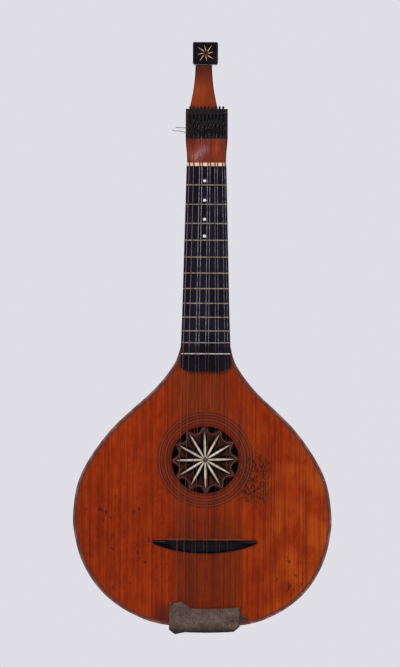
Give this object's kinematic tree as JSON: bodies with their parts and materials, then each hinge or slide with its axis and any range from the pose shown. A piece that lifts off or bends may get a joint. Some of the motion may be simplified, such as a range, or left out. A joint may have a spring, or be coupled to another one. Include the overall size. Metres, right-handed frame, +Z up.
{
  "type": "english guitar",
  "caption": "English guitar with a pear-shaped flat-backed body, pierced rose with ivory rays, wire strings in courses and a tuning machine whose screws draw travelling hooks.",
  "frame": {"origin": "middle of the stem just under the finial, where a hanger holds the instrument", "axes": "+Z up along the strings towards the finial, +X towards the treble side, -Y out of the soundboard towards the viewer"},
  "size_m": [0.2898, 0.0885, 0.6631],
  "materials": {
    "varnished_spruce": "gloss varnish over spruce",
    "varnished_maple": "gloss varnish over maple",
    "ebony": "polished black",
    "ivory": "polished, aged",
    "tracery_wood": "satin, stained red-brown",
    "bare_wood": "unfinished",
    "fret_brass": "worn satin",
    "machine_iron": "dark, oiled",
    "string_wire": "drawn wire, dulled",
    "cover_cloth": "ribbed weave, worn"
  },
  "bodies": {
    "instrument": {"soundboard": "varnished_spruce", "back_board": "varnished_maple", "rib_bass": "varnished_maple", "rib_treble": "varnished_maple", "tail_block": "bare_wood", "upper_bar": "bare_wood", "lower_bar": "bare_wood", "back_bar": "bare_wood", "neck": "varnished_maple", "fingerboard": "ebony", "fret_01": "fret_brass", "fret_02": "fret_brass", "fret_03": "fret_brass", "fret_04": "fret_brass", "fret_05": "fret_brass", "fret_06": "fret_brass", "fret_07": "fret_brass", "fret_08": "fret_brass", "fret_09": "fret_brass", "fret_10": "fret_brass", "fret_11": "fret_brass", "fret_12": "fret_brass", "nut": "ivory", "bridge": "ebony", "tail_saddle": "ebony", "rose": "tracery_wood", "rose_star": "ivory", "finial": "ebony", "machine_frame": "machine_iron", "string_01": "string_wire", "string_02": "string_wire", "string_03": "string_wire", "string_04": "string_wire", "string_05": "string_wire", "string_06": "string_wire", "string_07": "string_wire", "string_08": "string_wire", "string_09": "string_wire", "string_10": "string_wire", "string_cover": "cover_cloth"},
    "screw_01": {"tuning_screw_01": "machine_iron"},
    "hook_01": {"string_hook_01": "machine_iron"},
    "screw_02": {"tuning_screw_02": "machine_iron"},
    "hook_02": {"string_hook_02": "machine_iron"},
    "screw_03": {"tuning_screw_03": "machine_iron"},
    "hook_03": {"string_hook_03": "machine_iron"},
    "screw_04": {"tuning_screw_04": "machine_iron"},
    "hook_04": {"string_hook_04": "machine_iron"},
    "screw_05": {"tuning_screw_05": "machine_iron"},
    "hook_05": {"string_hook_05": "machine_iron"},
    "screw_06": {"tuning_screw_06": "machine_iron"},
    "hook_06": {"string_hook_06": "machine_iron"},
    "screw_07": {"tuning_screw_07": "machine_iron"},
    "hook_07": {"string_hook_07": "machine_iron"},
    "screw_08": {"tuning_screw_08": "machine_iron"},
    "hook_08": {"string_hook_08": "machine_iron"},
    "screw_09": {"tuning_screw_09": "machine_iron"},
    "hook_09": {"string_hook_09": "machine_iron"},
    "screw_10": {"tuning_screw_10": "machine_iron"},
    "hook_10": {"string_hook_10": "machine_iron"}
  },
  "joints": [
    {"name": "turn_01", "type": "hinge", "parent": "instrument", "child": "screw_01", "pos_m": [-0.01854, -0.0083, -0.04816], "axis": [0, -0.1392, -0.9903], "range_deg": [-2251, 3151]},
    {"name": "travel_01", "type": "slide", "parent": "instrument", "child": "hook_01", "axis": [0, 0.1392, 0.9903], "range_m": [-0.005, 0.007], "deforming": ["string_01"]},
    {"name": "turn_02", "type": "hinge", "parent": "instrument", "child": "screw_02", "pos_m": [-0.01442, -0.0083, -0.04816], "axis": [0, -0.1392, -0.9903], "range_deg": [-4366, 1036]},
    {"name": "travel_02", "type": "slide", "parent": "instrument", "child": "hook_02", "axis": [0, 0.1392, 0.9903], "range_m": [-0.0097, 0.0023], "deforming": ["string_02"]},
    {"name": "turn_03", "type": "hinge", "parent": "instrument", "child": "screw_03", "pos_m": [-0.0103, -0.0083, -0.04816], "axis": [0, -0.1392, -0.9903], "range_deg": [-3916, 1486]},
    {"name": "travel_03", "type": "slide", "parent": "instrument", "child": "hook_03", "axis": [0, 0.1392, 0.9903], "range_m": [-0.0087, 0.0033], "deforming": ["string_03"]},
    {"name": "turn_04", "type": "hinge", "parent": "instrument", "child": "screw_04", "pos_m": [-0.00618, -0.0083, -0.04816], "axis": [0, -0.1392, -0.9903], "range_deg": [-3151, 2251]},
    {"name": "travel_04", "type": "slide", "parent": "instrument", "child": "hook_04", "axis": [0, 0.1392, 0.9903], "range_m": [-0.007, 0.005], "deforming": ["string_04"]},
    {"name": "turn_05", "type": "hinge", "parent": "instrument", "child": "screw_05", "pos_m": [-0.00206, -0.0083, -0.04816], "axis": [0, -0.1392, -0.9903], "range_deg": [-3736, 1666]},
    {"name": "travel_05", "type": "slide", "parent": "instrument", "child": "hook_05", "axis": [0, 0.1392, 0.9903], "range_m": [-0.0083, 0.0037], "deforming": ["string_05"]},
    {"name": "turn_06", "type": "hinge", "parent": "instrument", "child": "screw_06", "pos_m": [0.00206, -0.0083, -0.04816], "axis": [0, -0.1392, -0.9903], "range_deg": [-4456, 946]},
    {"name": "travel_06", "type": "slide", "parent": "instrument", "child": "hook_06", "axis": [0, 0.1392, 0.9903], "range_m": [-0.0099, 0.0021], "deforming": ["string_06"]},
    {"name": "turn_07", "type": "hinge", "parent": "instrument", "child": "screw_07", "pos_m": [0.00618, -0.0083, -0.04816], "axis": [0, -0.1392, -0.9903], "range_deg": [-4096, 1306]},
    {"name": "travel_07", "type": "slide", "parent": "instrument", "child": "hook_07", "axis": [0, 0.1392, 0.9903], "range_m": [-0.0091, 0.0029], "deforming": ["string_07"]},
    {"name": "turn_08", "type": "hinge", "parent": "instrument", "child": "screw_08", "pos_m": [0.0103, -0.0083, -0.04816], "axis": [0, -0.1392, -0.9903], "range_deg": [-4366, 1036]},
    {"name": "travel_08", "type": "slide", "parent": "instrument", "child": "hook_08", "axis": [0, 0.1392, 0.9903], "range_m": [-0.0097, 0.0023], "deforming": ["string_08"]},
    {"name": "turn_09", "type": "hinge", "parent": "instrument", "child": "screw_09", "pos_m": [0.01442, -0.0083, -0.04816], "axis": [0, -0.1392, -0.9903], "range_deg": [-3826, 1576]},
    {"name": "travel_09", "type": "slide", "parent": "instrument", "child": "hook_09", "axis": [0, 0.1392, 0.9903], "range_m": [-0.0085, 0.0035], "deforming": ["string_09"]},
    {"name": "turn_10", "type": "hinge", "parent": "instrument", "child": "screw_10", "pos_m": [0.01854, -0.0083, -0.04816], "axis": [0, -0.1392, -0.9903], "range_deg": [-3286, 2116]},
    {"name": "travel_10", "type": "slide", "parent": "instrument", "child": "hook_10", "axis": [0, 0.1392, 0.9903], "range_m": [-0.0073, 0.0047], "deforming": ["string_10"]}
  ],
  "couplings": [
    {"joint": "turn_01", "follows": "travel_01", "rad_per_m": 7854},
    {"joint": "turn_02", "follows": "travel_02", "rad_per_m": 7854},
    {"joint": "turn_03", "follows": "travel_03", "rad_per_m": 7854},
    {"joint": "turn_04", "follows": "travel_04", "rad_per_m": 7854},
    {"joint": "turn_05", "follows": "travel_05", "rad_per_m": 7854},
    {"joint": "turn_06", "follows": "travel_06", "rad_per_m": 7854},
    {"joint": "turn_07", "follows": "travel_07", "rad_per_m": 7854},
    {"joint": "turn_08", "follows": "travel_08", "rad_per_m": 7854},
    {"joint": "turn_09", "follows": "travel_09", "rad_per_m": 7854},
    {"joint": "turn_10", "follows": "travel_10", "rad_per_m": 7854}
  ]
}
